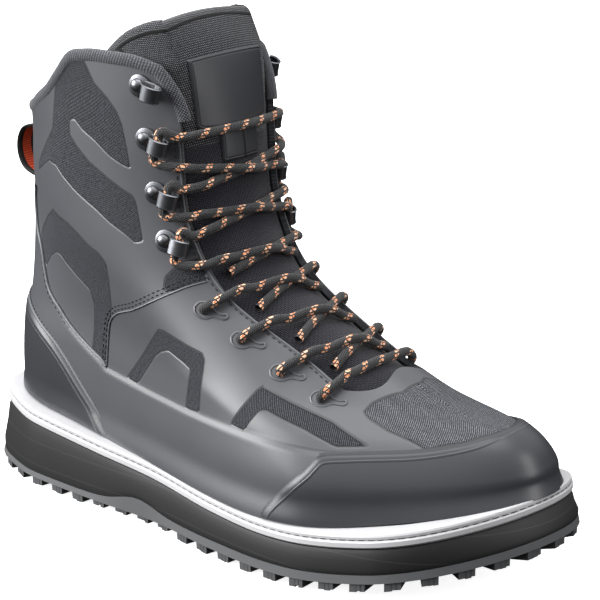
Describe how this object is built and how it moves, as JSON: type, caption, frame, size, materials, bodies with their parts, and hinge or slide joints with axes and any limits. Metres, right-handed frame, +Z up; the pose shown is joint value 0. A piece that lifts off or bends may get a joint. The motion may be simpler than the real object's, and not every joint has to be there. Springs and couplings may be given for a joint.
{
  "type": "wading boot",
  "caption": "Lace-up wading boot for the right foot, with a hollow upper, padded tongue, lace hooks, welt, midsole and a lugged outsole that is flat under the heel and forefoot.",
  "frame": {"origin": "on the floor under the middle of the heel", "axes": "+X from heel to toe, +Y to the inner side of the foot, +Z up"},
  "size_m": [0.3165, 0.1208, 0.2365],
  "materials": {
    "tread_rubber": "matte dark grey rubber",
    "midsole_foam": "matte black foam",
    "welt": "satin off-white strip",
    "insole": "dark knit over foam",
    "upper": "mid-grey film over woven fabric",
    "toe_film": "satin dark grey rubber",
    "knit": "matte dark knit over padding",
    "tongue_plate": "satin grey film",
    "webbing": "black webbing with an orange-red centre line",
    "hooks": "gunmetal, satin",
    "laces": "black braid with orange flecks"
  },
  "bodies": {
    "root": {"outsole": "tread_rubber", "midsole": "midsole_foam", "welt": "welt", "insole": "insole", "upper": "upper", "toe_cap": "toe_film", "heel_counter": "toe_film", "rand_lateral": "toe_film", "rand_medial": "toe_film", "collar_binding": "knit", "tongue": "knit", "tongue_plate": "tongue_plate", "pull_loop": "webbing", "hook_lateral_1": "hooks", "hook_lateral_2": "hooks", "hook_lateral_3": "hooks", "hook_lateral_4": "hooks", "hook_medial_1": "hooks", "hook_medial_2": "hooks", "hook_medial_3": "hooks", "hook_medial_4": "hooks", "lace_1": "laces", "lace_2": "laces", "lace_3": "laces", "lace_4": "laces", "lace_5": "laces", "lace_6": "laces", "lace_7": "laces", "lace_8": "laces"}
  },
  "joints": []
}
